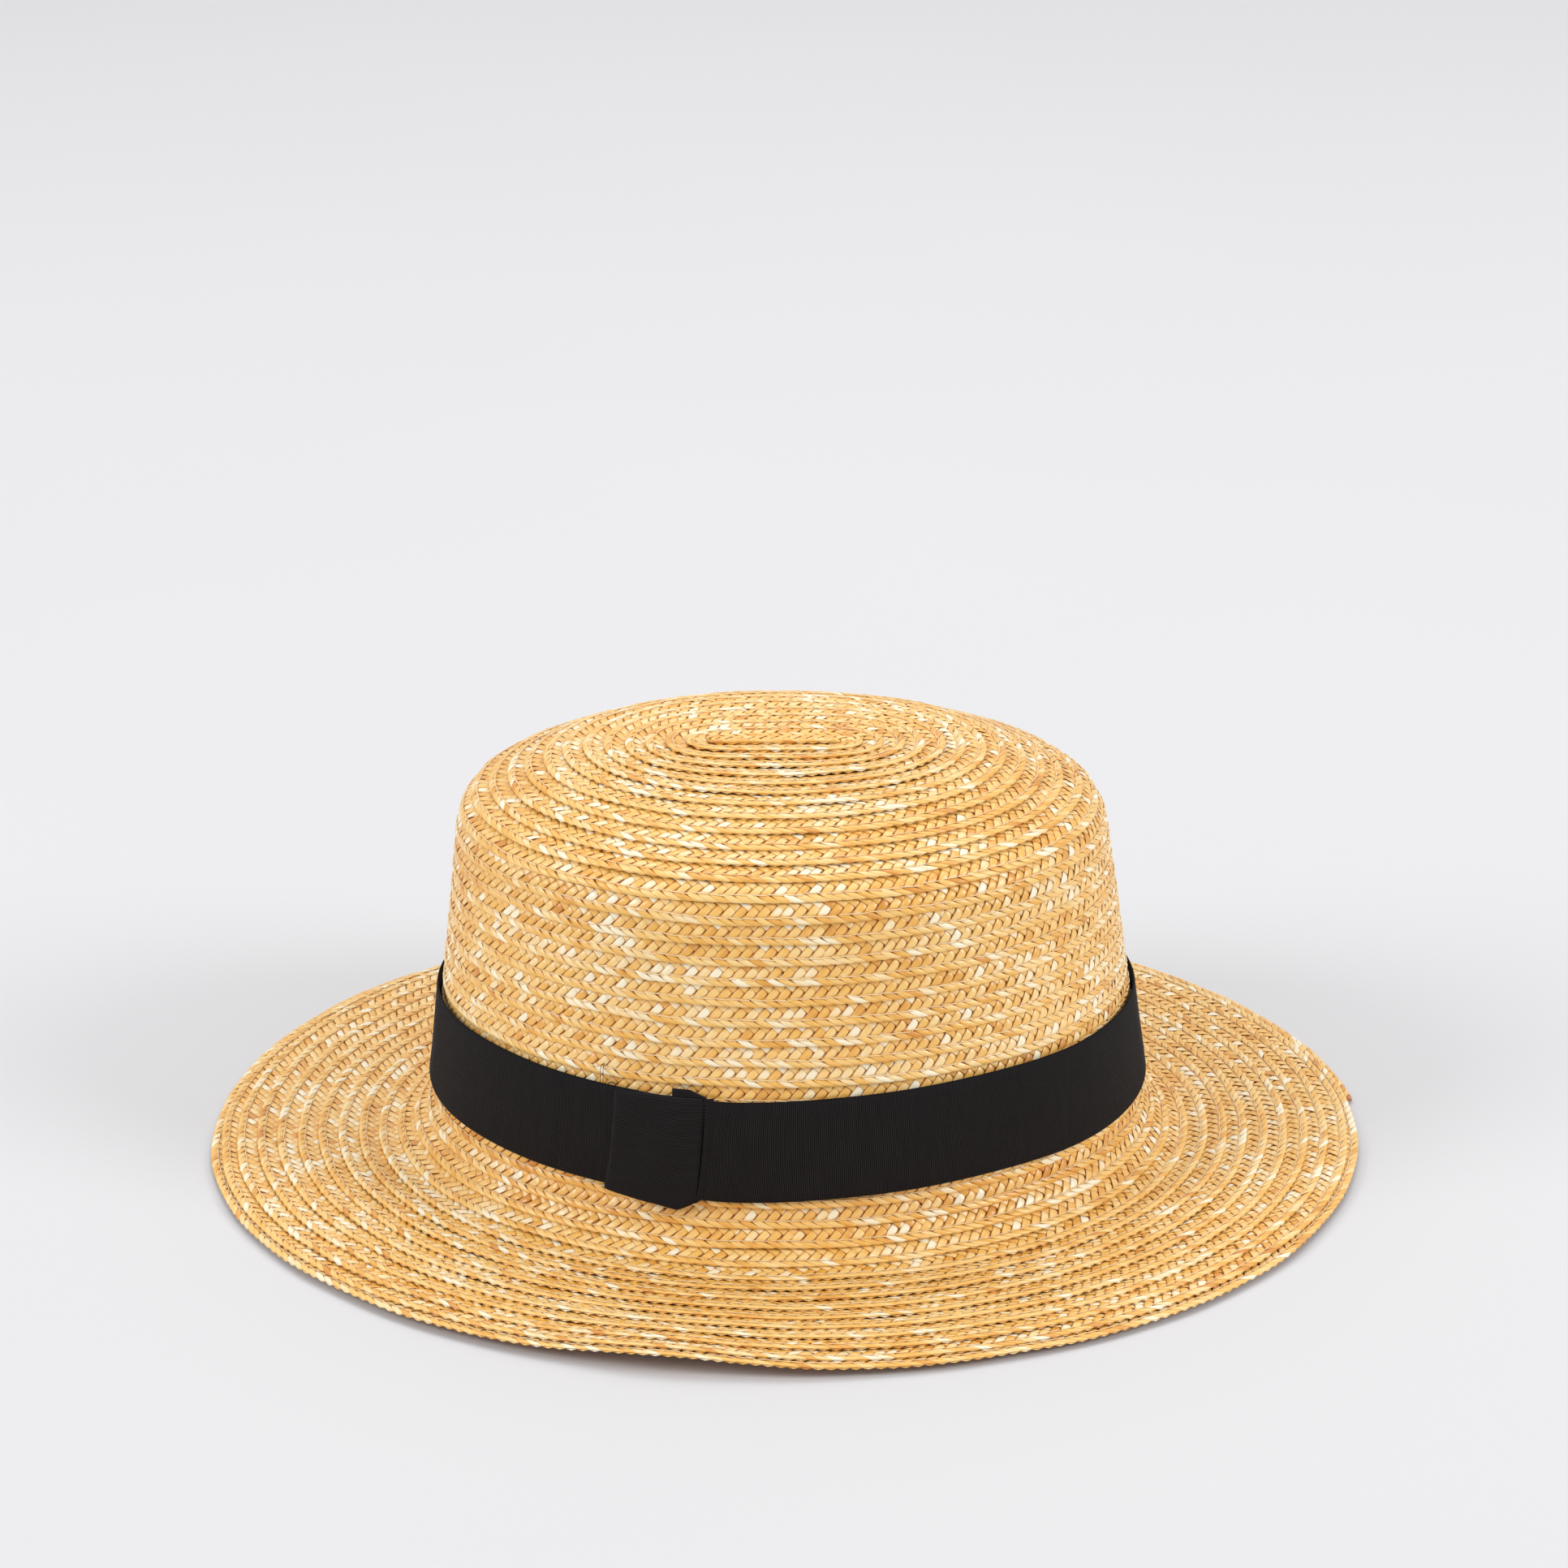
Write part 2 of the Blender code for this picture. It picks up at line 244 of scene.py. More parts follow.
def spiral_table():
    """Turns against length along the plait's middle line."""
    count = (COURSE_COUNT + 2) * STEPS_PER_TURN
    turns = np.linspace(1.0 - START_TURNS, COURSE_COUNT + 2.0, count)
    edge = course_edge(turns)
    inner = np.maximum(edge - PLAIT_WIDTH, START_SLIT)
    points = plain_point((edge + inner) / 2, azimuth_of(turns), 0.0)
    steps = np.linalg.norm(np.diff(points, axis=0), axis=1)
    return turns, np.concatenate([[0.0], np.cumsum(steps)])


SPIRAL_TURNS, SPIRAL_LENGTH = spiral_table()
PLAIT_LENGTH = SPIRAL_LENGTH[-1]


def drift(along, lengths, phases, shares):
    """Smooth wandering value along the plait, with several wave lengths in metres."""
    return sum(share * np.sin(2.0 * math.pi * along / length + phase)
               for length, phase, share in zip(lengths, phases, shares))


def plait_point(along, across, height):
    """Points of the sewn plait: length along it, place across it and height over its middle."""
    turns = np.interp(along, SPIRAL_LENGTH, SPIRAL_TURNS)
    edge = course_edge(turns)
    inner = np.maximum(edge - PLAIT_WIDTH, START_SLIT)
    share = across / PLAIT_WIDTH + 0.5
    wander = drift(along, (0.037, 0.061, 0.113), (0.3, 1.9, 4.0), (0.10, 0.10, 0.08)) * MM
    settled = np.clip((edge - 9 * MM) / (6 * MM), 0.0, 1.0)
    distance = inner + (edge - inner) * share + wander * settled
    lift = drift(along, (0.023, 0.049, 0.17), (1.0, 0.2, 2.2), (0.05, 0.06, 0.06)) * MM
    offset = (distance - wander - course_middle(turns)) * SLOPE + height + lift
    return hat_point(distance, azimuth_of(turns), offset)


# ---------------------------------------------------------------- mesh helpers

def grid_faces(first, rows, columns, closed):
    """Quads between the points of grids laid out as first + row * columns + column."""
    row = np.arange(rows - 1)[:, None] * columns
    here = np.arange(columns if closed else columns - 1)[None, :]
    next_one = (here + 1) % columns
    quads = np.stack([row + here, row + next_one, row + columns + next_one,
                      row + columns + here], axis=-1)
    quads = quads.reshape(-1, 4)
    return (np.asarray(first)[:, None, None] + quads[None]).reshape(-1, 4)


def build_mesh(name, points, quads, uv=None, values=None):
    """Smooth closed quad mesh, faces outward, with an optional UV map and values on its points."""
    corner = points[quads] - points.mean(axis=0)
    across = np.cross(corner[:, 2] - corner[:, 0], corner[:, 3] - corner[:, 1])
    if np.einsum("ij,ij->", across, corner.mean(axis=1)) < 0.0:
        quads = quads[:, ::-1]
        uv = None if uv is None else uv.reshape(-1, 4, 2)[:, ::-1]
    mesh = bpy.data.meshes.new(name)
    mesh.vertices.add(len(points))
    mesh.vertices.foreach_set("co", points.astype(np.float32).ravel())
    mesh.loops.add(quads.size)
    mesh.loops.foreach_set("vertex_index", np.ascontiguousarray(quads, np.int32).ravel())
    mesh.polygons.add(len(quads))
    mesh.polygons.foreach_set("loop_start", np.arange(0, quads.size, 4, dtype=np.int32))
    mesh.update(calc_edges=True)
    mesh.polygons.foreach_set("use_smooth", np.ones(len(quads), bool))
    if uv is not None:
        layer = mesh.uv_layers.new(name=EXPORT_UV)
        layer.data.foreach_set("uv", np.ascontiguousarray(uv, np.float32).ravel())
    for label, value in (values or {}).items():
        kind = "FLOAT" if value.ndim == 1 else "FLOAT_VECTOR"
        attribute = mesh.attributes.new(label, kind, "POINT")
        field = "value" if value.ndim == 1 else "vector"
        attribute.data.foreach_set(field, value.astype(np.float32).ravel())
    mesh.validate()
    return mesh


def add_piece(name, mesh, material, replaced=()):
    piece = bpy.data.objects.new(name, mesh)
    bpy.context.scene.collection.objects.link(piece)
    piece.data.materials.append(material)
    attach(piece, BODY)
    if replaced:
        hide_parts(*replaced)
    return piece


def tile_uv(count, rows, columns):
    """UV corners that give each of count closed strips a tile of its own in a square sheet."""
    side = math.ceil(math.sqrt(count))
    row = np.arange(rows - 1)[:, None]
    column = np.arange(columns)[None, :]
    u = np.stack([column, column + 1, column + 1, column], axis=-1) / columns
    v = np.stack([row, row, row + 1, row + 1], axis=-1) / (rows - 1)
    u = np.broadcast_to(u, (rows - 1, columns, 4))
    v = np.broadcast_to(v, (rows - 1, columns, 4))
    tile = np.stack([u, v], axis=-1).reshape(1, -1, 2) * (1.0 - 2.0 * UV_MARGIN) + UV_MARGIN
    place = np.arange(count)
    corner = np.stack([place % side, place // side], axis=-1)[:, None, :]
    return ((tile + corner) / side).reshape(-1, 2)


# ---------------------------------------------------------------- woven straws

# Places along a straw where it crosses the plait, in quarters of the plait's width from its
# middle, and across one straw, from edge to edge with its underside last
CROSSING = np.array([-2.0, -1.9, -1.4, -0.72, -0.5, -0.28, 0.0,
                     0.28, 0.5, 0.72, 1.4, 1.9, 2.0])
ACROSS_STRAW = np.array([-1.0, -0.70, 0.0, 0.70, 1.0, 0.0])
STRAW_FACE = np.array([0.0, 0.66, 1.0, 0.66, 0.0, -0.8])
STRAND_COUNT = 4


def weave_height(crossing):
    """Height of a straw that leans outward-forward: 1 over its neighbours and -1 under them."""
    reach = np.abs(crossing)
    turned = np.cos(math.pi * np.minimum(reach, 1.0))
    fold = np.clip((reach - 1.8) / 0.2, 0.0, 1.0)
    return np.sign(turned) * np.abs(turned) ** 0.6 * np.sqrt(1.0 - fold * fold)


def strand_tones(count):
    """How pale each straw is: a new straw is spliced into a strand every 10 to 25 crossings."""
    tone = np.zeros(count)
    for strand in range(STRAND_COUNT):
        place = strand
        while place < count:
            run = int(rng.integers(10, 26)) * STRAND_COUNT
            tone[place:place + run:STRAND_COUNT] = rng.normal()
            place += run
    return tone


LINE_COUNT = int(PLAIT_LENGTH / STRAW_SPACING) + 8
STRAND_TONE = strand_tones(LINE_COUNT)
STRAND_WIDTH = rng.uniform(0.97, 1.05, LINE_COUNT)
PALE_RUN = drift(np.arange(LINE_COUNT) * STRAW_SPACING, (0.019, 0.043, 0.131, 0.37),
                 (0.0, 1.1, 2.9, 5.0), (0.5, 0.6, 0.5, 0.4))


def straw_grids(lines, leaning):
    """Points of the straws that cross the plait one way, as (line, row, ring, xyz), with values.

    leaning is 1 for straws that run outward as they go along the plait and -1 for the others.
    A straw that folds at the plait's edge goes on as one of the other kind, two lines further on.
    """
    seed = np.random.default_rng(11 if leaning > 0 else 12)
    index = np.clip(lines, 0, None)
    strand = np.clip(lines if leaning > 0 else lines - 2, 0, None)
    width = STRAND_WIDTH[strand][:, None, None]
    tilt = seed.normal(0.0, STRAW_TILT, LINE_COUNT)[index][:, None, None]
    twist = seed.uniform(-1.5, 1.5, LINE_COUNT)[index][:, None, None]
    swell = seed.uniform(0.8, 1.2, LINE_COUNT)[index][:, None, None]
    slip = seed.normal(0.0, STRAW_SLIP, LINE_COUNT)[index][:, None, None]
    crossing = CROSSING[None, :, None]
    ring = ACROSS_STRAW[None, None, :]
    face = STRAW_FACE[None, None, :]
    inside = np.clip(2.0 - np.abs(crossing), 0.0, 1.0)
    at_edge = 1.0 - inside
    # the straw goes under and over along the edges of the straws that it crosses, and at the
    # stitches, which draw the outer crossings out, along the sewing thread
    follows = np.interp(crossing, (-1.9, -1.4, 0.0, 0.5), (0.0, 1.0, 1.0, 0.0))
    drawn = np.interp(crossing, (0.0, 0.5, 1.4, 2.0), (0.0, 0.30, 0.10, 0.0))
    row = crossing + drawn - leaning * ring * width / 2.0 * follows
    # past the stitches the straws lean over to wrap round the plait's edge
    wrapped = EDGE_WRAP * np.clip((np.abs(row) - 0.8) / 1.2, 0.0, 1.0) ** 1.4
    spread = width * (1.0 + 0.20 * at_edge)
    place = leaning * row / 2.0 - np.sign(row) * wrapped + ring * spread / 2.0
    along = (lines[:, None, None] + place) * STRAW_SPACING + slip * inside
    across = row * (PLAIT_WIDTH / 4.0 - 0.03 * MM)
    across = across + np.sign(row) * at_edge ** 2 * FOLD_BULGE * (0.55 - ring * ring) * swell
    height = leaning * weave_height(crossing) * WEAVE_HEIGHT
    rounded = face + 0.5 * at_edge * (np.sign(face + 0.1) - face) * (face >= 0.0)
    height = height + rounded * (STRAW_HALF_THICKNESS * swell + EDGE_THICKENING * at_edge)
    height = height + tilt * ring * np.cos(crossing + twist) * inside
    height = height - np.where(crossing > 0.0, OUTER_EDGE_DROP, INNER_EDGE_DROP) * at_edge ** 2
    stitch = PLAIT_WIDTH / 2.0 - STITCH_INSET
    height = height - STITCH_DINT * np.exp(
        -((across - stitch) / STITCH_DINT_WIDTH) ** 2)
    along, across, height = np.broadcast_arrays(along, across, height)
    points = plait_point(along, across, height)
    shape = along.shape
    # each crossing of a straw has its own tone, and a few get a painted glint, a pale patch in
    # their middle
    part = np.digitize(CROSSING, (-0.6, 0.4))
    cell = seed.normal(0.0, 1.0, (LINE_COUNT, 3))[index][:, part, None]
    painted_glint = np.clip(cell + 0.6 * PALE_RUN[index][:, None, None] - 1.1, 0.0, 1.0)
    middle = np.array([-1.2, 0.0, 1.3])[part][None, :, None]
    painted_glint = painted_glint * np.clip(1.3 - np.abs(crossing - middle) * 1.2 - ring * ring, 0.0, 1.0)
    tone = (STRAND_TONE[strand] * 0.5 + PALE_RUN[index] * 0.45)[:, None, None] + cell * 0.6
    tone = tone + painted_glint * 3.0
    number = lines[:, None, None] * 1.7 + (0.0 if leaning > 0 else 0.5)
    grain = np.stack(np.broadcast_arrays(
        ring * width, crossing * PLAIT_WIDTH / 4.0 / MM + 0.0 * ring, number + 0.0 * ring), -1)
    # painted shade in the dips of the weave: a straw's edges and its parts that run under other
    # straws get a low share here, and the material darkens them towards brown
    over = leaning * weave_height(crossing) * 0.5 + 0.5
    shaded = np.abs(ring) ** 4 * (1.0 - 0.7 * at_edge)
    unshaded_share = np.broadcast_to((1.0 - shaded) * (0.2 + 0.8 * over), shape)
    return points, np.broadcast_to(tone, shape), grain, unshaded_share


def plait_mesh(name, first_turn, last_turn):
    """Mesh of all straws that cross the plait's middle line between two turn counts."""
    start = np.interp(first_turn, SPIRAL_TURNS, SPIRAL_LENGTH)
    end = np.interp(last_turn, SPIRAL_TURNS, SPIRAL_LENGTH)
    lines = np.arange(math.ceil(start / STRAW_SPACING), math.ceil(end / STRAW_SPACING))
    rows, columns = len(CROSSING), len(ACROSS_STRAW)
    parts = [straw_grids(lines, leaning) for leaning in (1, -1)]
    points = np.concatenate([part[0].reshape(-1, 3) for part in parts])
    values = {
        "tone": np.concatenate([part[1].reshape(-1) for part in parts]),
        "grain": np.concatenate([part[2].reshape(-1, 3) for part in parts]),
        "unshaded_share": np.concatenate([part[3].reshape(-1) for part in parts]),
    }
    count = 2 * len(lines)
    quads = grid_faces(np.arange(count) * rows * columns, rows, columns, closed=True)
    return build_mesh(name, points, quads, tile_uv(count, rows, columns), values)


def build_plait(straw):
    """One piece for the plait's start, one for each course and one for the doubled edge."""
    pieces = [add_piece("tip_start_plait", plait_mesh("tip_start_plait", 1.0 - START_TURNS, 1.0),
                        straw, ("tip_start",))]
    number = 0
    for group, count in COURSE_GROUPS:
        for place in range(1, count + 1):
            number += 1
            node = f"{group}_{place:02d}"
            mesh = plait_mesh(node + "_plait", number, number + 1.0)
            pieces.append(add_piece(node + "_plait", mesh, straw, (node,)))
    mesh = plait_mesh("brim_edge_plait", number + 1.0, number + 2.0)
    pieces.append(add_piece("brim_edge_plait", mesh, straw, ("brim_edge_course",)))
    return pieces


# ---------------------------------------------------------------- threads

def tube_mesh(name, centres, radius, sides, place):
    """Thread through centres, given as (along, across, height) for place(), as a closed tube."""
    turn = np.arange(sides) * 2.0 * math.pi / sides
    across = centres[:, 1, None] + radius * np.cos(turn)[None]
    height = centres[:, 2, None] + radius * np.sin(turn)[None]
    along = np.broadcast_to(centres[:, 0, None], across.shape)
    points = place(along, across, height).reshape(-1, 3)
    quads = grid_faces([0], len(centres), sides, closed=True)
    row = np.repeat(np.arange(len(centres) - 1), sides)
    share = row / (len(centres) - 1)
    strip = np.floor(share * THREAD_UV_STRIPS)
    local = share * THREAD_UV_STRIPS - strip
    step = THREAD_UV_STRIPS / (len(centres) - 1)
    column = np.tile(np.arange(sides), len(centres) - 1)
    low = (strip + column / sides * 0.8 + 0.1) / THREAD_UV_STRIPS
    high = (strip + (column + 1) / sides * 0.8 + 0.1) / THREAD_UV_STRIPS
    u = np.stack([local, local, local + step, local + step], axis=-1) * 0.98
    v = np.stack([low, high, high, low], axis=-1)
    return build_mesh(name, points, quads, np.stack([u, v], axis=-1).reshape(-1, 2))


def stitch_line(side):
    """Centre points of the stitches along the whole plait, on its outer (1) or head (-1) side."""
    start = np.interp(1.2, SPIRAL_TURNS, SPIRAL_LENGTH)
    count = int((PLAIT_LENGTH - start) / STITCH_LENGTH) - 1
    lengths = STITCH_LENGTH * (1.0 + 0.12 * rng.standard_normal(count).clip(-2, 2))
    starts = start + np.cumsum(lengths) - lengths[0]
    phase = np.array([0.0, 0.05, 0.16, 0.5, 0.84, 0.95])
    along = starts[:, None] + phase[None] * lengths[:, None]
    slant = rng.normal(0.30, 0.10, count)[:, None] * MM
    across = (0.5 - phase[None]) * slant + rng.normal(0.0, 0.10, count)[:, None] * MM
    across = across + PLAIT_WIDTH / 2.0 - STITCH_INSET
    surface = np.array([-0.15, 0.26, 0.42, 0.46, 0.40, 0.22]) * MM
    height = np.broadcast_to(surface[None] * side, along.shape)
    centres = np.stack([along, across, height], axis=-1).reshape(-1, 3)
    return centres[centres[:, 0] < PLAIT_LENGTH - 2 * MM]


def build_threads(thread):
    pieces = []
    for name, side, replaced in (("sewing_thread", 1.0, ("brim_edge_thread",)),
                                 ("sewing_thread_head_side", -1.0, ())):
        mesh = tube_mesh(name, stitch_line(side), THREAD_RADIUS, 4, plait_point)
        pieces.append(add_piece(name, mesh, thread, replaced))
    return pieces


# ---------------------------------------------------------------- ribbons

def round_table(distance):
    """Azimuth, clockwise from the tab's middle, against length round the crown at a distance."""
    azimuth = TAB_AZIMUTH - np.linspace(-math.pi, math.pi, 2881)
    points = plain_point(np.full_like(azimuth, distance), azimuth, RIBBON_OFFSET)
    steps = np.linalg.norm(np.diff(points, axis=0), axis=1)
    length = np.concatenate([[0.0], np.cumsum(steps)])
    middle = np.interp(0.0, TAB_AZIMUTH - azimuth, length)
    return length - middle, azimuth


ROUND_LENGTH, ROUND_AZIMUTH = round_table(RIBBON_TOP + RIBBON_WIDTH / 2)
ROUND = ROUND_LENGTH[-1] - ROUND_LENGTH[0]


def crown_point(along, distance, offset):
    """Points on the foot of the crown: length clockwise from the tab's middle, seen from above."""
    wrapped = (along - ROUND_LENGTH[0]) % ROUND + ROUND_LENGTH[0]
    azimuth = np.interp(wrapped, ROUND_LENGTH, ROUND_AZIMUTH)
    return hat_point(distance, azimuth, offset)


def near(along, middle, spread):
    """Smooth bump of height 1 round one place along the ribbon, all in millimetres."""
    return np.exp(-((along / MM - middle) / spread) ** 2)


def ribbon_point(along, distance, offset):
    """Points of the ribbon, which sags beside its tab and rides up further round."""
    wrapped = (along - ROUND_LENGTH[0]) % ROUND + ROUND_LENGTH[0]
    sag = 1.5 * near(wrapped, -18.0, 26.0) - 1.0 * near(wrapped, -95.0, 27.0) - 0.6 * near(
        wrapped, 60.0, 25.0)
    return crown_point(along, distance + (0.3 + sag) * MM, offset)


RIB_SHAPE = np.array([0.0, 0.8, 1.0, 0.8])
RIB_SPACING = 0.54 * MM
RIB_HEIGHT = 0.14 * MM


def rib_columns(start, end, spacing):
    """Places along a ribbon, four to a rib, and the rib's height there from 0 to 1."""
    ribs = int(round((end - start) / spacing))
    place = np.arange(ribs * 4 + 1)
    return start + (end - start) * place / (ribs * 4), RIB_SHAPE[place % 4]


def band_mesh(name, start, end, top, width, base, thickness, outward, shape, place):
    """Ribbon round the crown, ribbed across, with rounded selvedges and a plain back.

    shape(along, share) gives how far the ribbon shifts along the hat and stands off it.
    """
    along, rib = rib_columns(start, end, RIB_SPACING)
    face = np.linspace(0.0, 1.0, 13)
    across = np.concatenate([[0.0, 0.012], 0.03 + face * 0.94, [0.988, 1.0], [0.9, 0.1]])
    level = np.concatenate([[0.25, 0.8], np.ones(13), [0.8, 0.25], [0.0, 0.0]])
    length, share = np.meshgrid(along, across, indexing="ij")
    shift, loose = shape(length, share)
    height = level * thickness + level * rib[:, None] * RIB_HEIGHT + loose
    points = place(length + shift, top + share * width, base + outward * height)
    rows, columns = height.shape
    cloth = np.stack([(length - start) / MM, share * width / MM, rib[:, None] * level], axis=-1)
    row = np.repeat(np.arange(rows - 1), columns) / (rows - 1) * BAND_UV_STRIPS
    strip = np.minimum(np.floor(row), BAND_UV_STRIPS - 1)
    column = np.tile(np.arange(columns), rows - 1)
    low = (strip + 0.02 + 0.96 * column / columns) / BAND_UV_STRIPS
    high = (strip + 0.02 + 0.96 * (column + 1) / columns) / BAND_UV_STRIPS
    left = row - strip
    right = left + BAND_UV_STRIPS / (rows - 1)
    uv = np.stack([left, low, left, high, right, high, right, low], axis=-1).reshape(-1, 2)
    return build_mesh(name, points.reshape(-1, 3), grid_faces([0], rows, columns, closed=True),
                      uv, {"cloth": cloth.reshape(-1, 3)})


def ribbon_shape(along, share):
    """The band is drawn in beside its tab and lies a little loose further round."""
    wrapped = (along - ROUND_LENGTH[0]) % ROUND + ROUND_LENGTH[0]
    bow = np.sin(math.pi * share)
    shift = (1.3 * near(wrapped, -24.0, 13.0) - 0.5 * near(wrapped, 24.0, 12.0)) * bow * MM
    away = np.clip(np.abs(wrapped) / (60 * MM), 0.0, 1.0)
    edges = 0.35 + 0.65 * (2.0 * share - 1.0) ** 2
    loose = away * edges * (0.16 + drift(wrapped, (0.059, 0.097), (0.7, 2.0), (0.08, 0.07)))
    ripples = drift(wrapped + 0.006 * bow, (0.0115, 0.019), (0.4, 1.5), (0.11, 0.14))
    loose = loose + (0.25 + ripples) * near(wrapped, 0.0, 38.0) * (0.4 + 0.6 * bow)
    return shift, loose * MM


TAB_LEFT = np.array([13.0, 15.5]) * MM        # along the hat, at the tab's top and bottom
TAB_CREASE = np.array([-12.6, -10.2]) * MM
TAB_RIGHT = np.array([-14.9, -12.0]) * MM
TAB_TOP = 130.6 * MM                          # from the middle of the tip, along the meridian
TAB_BOTTOM = 160.0 * MM
TAB_CORNER = -5.0 * MM
TUCK_LEFT = -3.4 * MM
TUCK_RIGHT = -13.0 * MM
TUCK_TOP = 128.3 * MM
TUCK_BOTTOM = 134.0 * MM
PANEL_RIB_SPAN = 30.0 * MM                    # length over which ribs along the hat are spread
PANEL_THICKNESS = 0.45 * MM


def panel_mesh(name, left, right, top, bottom, lift, columns, upright=False):
    """Ribbon panel on the hat between two slanting sides.

    left and right are the sides' places along the hat at top and bottom; top and bottom give
    the distance of those edges from the tip's middle at a share of the way across; and
    lift(across, down) is the panel's offset from the crown. Its ribs lie along the hat, or
    stand upright.
    """
    length = abs(right[0] - left[0]) if upright else PANEL_RIB_SPAN
    ribs = max(int(round(length / RIB_SPACING)), 2)
    steps = np.arange(ribs * 4 + 1) / (ribs * 4)
    plain = np.linspace(0.0, 1.0, columns)
    across, down = (steps, plain) if upright else (plain, steps)
    share, depth = np.meshgrid(across, down)
    rib = RIB_SHAPE[np.arange(ribs * 4 + 1) % 4]
    rib = np.broadcast_to(rib if upright else rib[:, None], share.shape)
    distance = top(share) + (bottom(share) - top(share)) * depth
    first = left[0] + (left[1] - left[0]) * depth ** 2
    last = right[0] + (right[1] - right[0]) * depth
    along = first + (last - first) * share
    height = lift(share, depth) + rib * RIB_HEIGHT
    outer = crown_point(along, distance, height).reshape(-1, 3)
    inner = crown_point(along, distance, height - PANEL_THICKNESS).reshape(-1, 3)
    rows, columns = height.shape
    face = grid_faces([0], rows, columns, closed=False)
    index = np.arange(rows * columns).reshape(rows, columns)
    rim = np.concatenate([index[:, 0], index[-1, 1:], index[-2::-1, -1], index[0, -2:0:-1]])
    following = np.roll(rim, -1)
    shell = rows * columns
    sides = np.stack([rim, following, following + shell, rim + shell], axis=-1)
    quads = np.concatenate([face, face[:, ::-1] + shell, sides])
    past_ribs = (share if upright else depth) * length
    along_ribs = distance if upright else along
    cloth = np.stack([past_ribs / MM, along_ribs / MM, rib], axis=-1).reshape(-1, 3)
    return build_mesh(name, np.concatenate([outer, inner]), quads, None,
                      {"cloth": np.concatenate([cloth, cloth])})


def tab_bottom(share):
    """The tab's lower edge slopes down to a blunt corner and back up to its crease."""
    corner = (TAB_LEFT[1] - TAB_CORNER) / (TAB_LEFT[1] - TAB_RIGHT[1])
    below = np.interp(share * 0.92, (0.0, 0.55, corner, 1.0), (0.0, 1.9, 3.0, -1.0))
    return TAB_BOTTOM + below * MM


def tab_lift(share, depth):
    """The tab stands off the band, rolled in along its top and bottom and down its left side."""
    rolled = np.clip((0.04 - depth) / 0.04, 0.0, 1.0) ** 2 + np.clip(
        (depth - 0.96) / 0.04, 0.0, 1.0) ** 2
    pillow = 0.35 * np.sin(math.pi * share) + 0.30 * share
    side = 0.35 * np.clip((0.05 - share) / 0.05, 0.0, 1.0) ** 2
    fold = np.sin(2.0 * math.pi * (share * 1.6 + depth * 0.7)) * 0.16 + 0.12 * np.sin(
        5.0 * depth + 9.0 * share)
    return (2.85 + pillow + fold * np.sin(math.pi * depth) - side - 0.7 * rolled) * MM


def build_ribbon(grosgrain):
    band = add_piece("ribbon_band_cloth", band_mesh(
        "ribbon_band_cloth", 0.0, ROUND, RIBBON_TOP, RIBBON_WIDTH, RIBBON_OFFSET,
        RIBBON_THICKNESS, 1.0, ribbon_shape, ribbon_point), grosgrain,
        ("ribbon_band",))
    tab = add_piece("ribbon_tab_cloth", panel_mesh(
        "ribbon_tab_cloth", TAB_LEFT, TAB_CREASE, lambda share: TAB_TOP - 0.3 * MM * share,
        tab_bottom, tab_lift, 26), grosgrain, ("ribbon_tab",))
    fold = add_piece("ribbon_tab_fold", panel_mesh(
        "ribbon_tab_fold", TAB_CREASE, TAB_RIGHT, lambda share: TAB_TOP - 0.3 * MM + 0.0 * share,
        lambda share: TAB_BOTTOM + (0.3 - 1.3 * share) * MM,
        lambda share, depth: (3.15 - 0.95 * share ** 1.5) * MM + 0.0 * depth, 8),
        grosgrain)
    tuck = add_piece("ribbon_tab_tuck", panel_mesh(
        "ribbon_tab_tuck", (TUCK_LEFT, TUCK_LEFT), (TUCK_RIGHT, TUCK_RIGHT),
        lambda share: TUCK_TOP + 1.9 * MM * np.clip((share - 0.5) / 0.5, 0.0, 1.0),
        lambda share: TUCK_BOTTOM + 0.0 * share,
        lambda share, depth: (2.35 + 0.1 * depth) * MM, 8, upright=True),
        grosgrain)
    return [band, tab, fold, tuck]


def build_tack(thread):
    """Two upright threads above the band beside the tab, and a loop that lies to their right."""
    start = 17.0 * MM
    top = 129.9 * MM
    spots = [
        (0.6, 1.6, 1.0), (0.65, 0.4, 2.1), (0.75, -2.0, 2.0), (0.80, -4.4, 2.0),
        (0.7, -5.0, 1.4), (0.4, -5.1, 0.7), (0.1, -4.9, 1.4), (0.0, -4.2, 2.0),
        (-0.1, -2.0, 2.0), (-0.2, 0.2, 2.1), (-0.4, 1.2, 2.3), (-1.2, 0.9, 2.3),
        (-1.8, -0.4, 2.2), (-2.9, -0.9, 2.2), (-3.9, -0.5, 2.1), (-4.4, 0.6, 2.0),
        (-4.6, 1.8, 1.5),
    ]
    route = np.array(spots) * MM
    fine = np.linspace(0.0, len(route) - 1.0, 90)
    smooth = np.stack([np.interp(fine, np.arange(len(route)), route[:, k]) for k in range(3)], -1)
    centres = np.stack([start + smooth[:, 0], top + smooth[:, 1], smooth[:, 2]], axis=-1)
    mesh = tube_mesh("ribbon_tack", centres, 0.17 * MM, 6, crown_point)
    return add_piece("ribbon_tack", mesh, thread, ("ribbon_tack_thread",))


SWEATBAND_START = float(np.interp(0.0, ROUND_AZIMUTH[::-1], ROUND_LENGTH[::-1]))
SWEATBAND_LAP = 12 * MM
LAP_STEP = 0.60 * MM                  # how far the lapping end stands off the end under it


def sweatband_shape(along, share):
    """The sweatband's end laps over its beginning at the wearer's back."""
    past = np.clip((along - SWEATBAND_START - ROUND + 2 * MM) / (3 * MM), 0.0, 1.0)
    return np.zeros_like(share), LAP_STEP * past


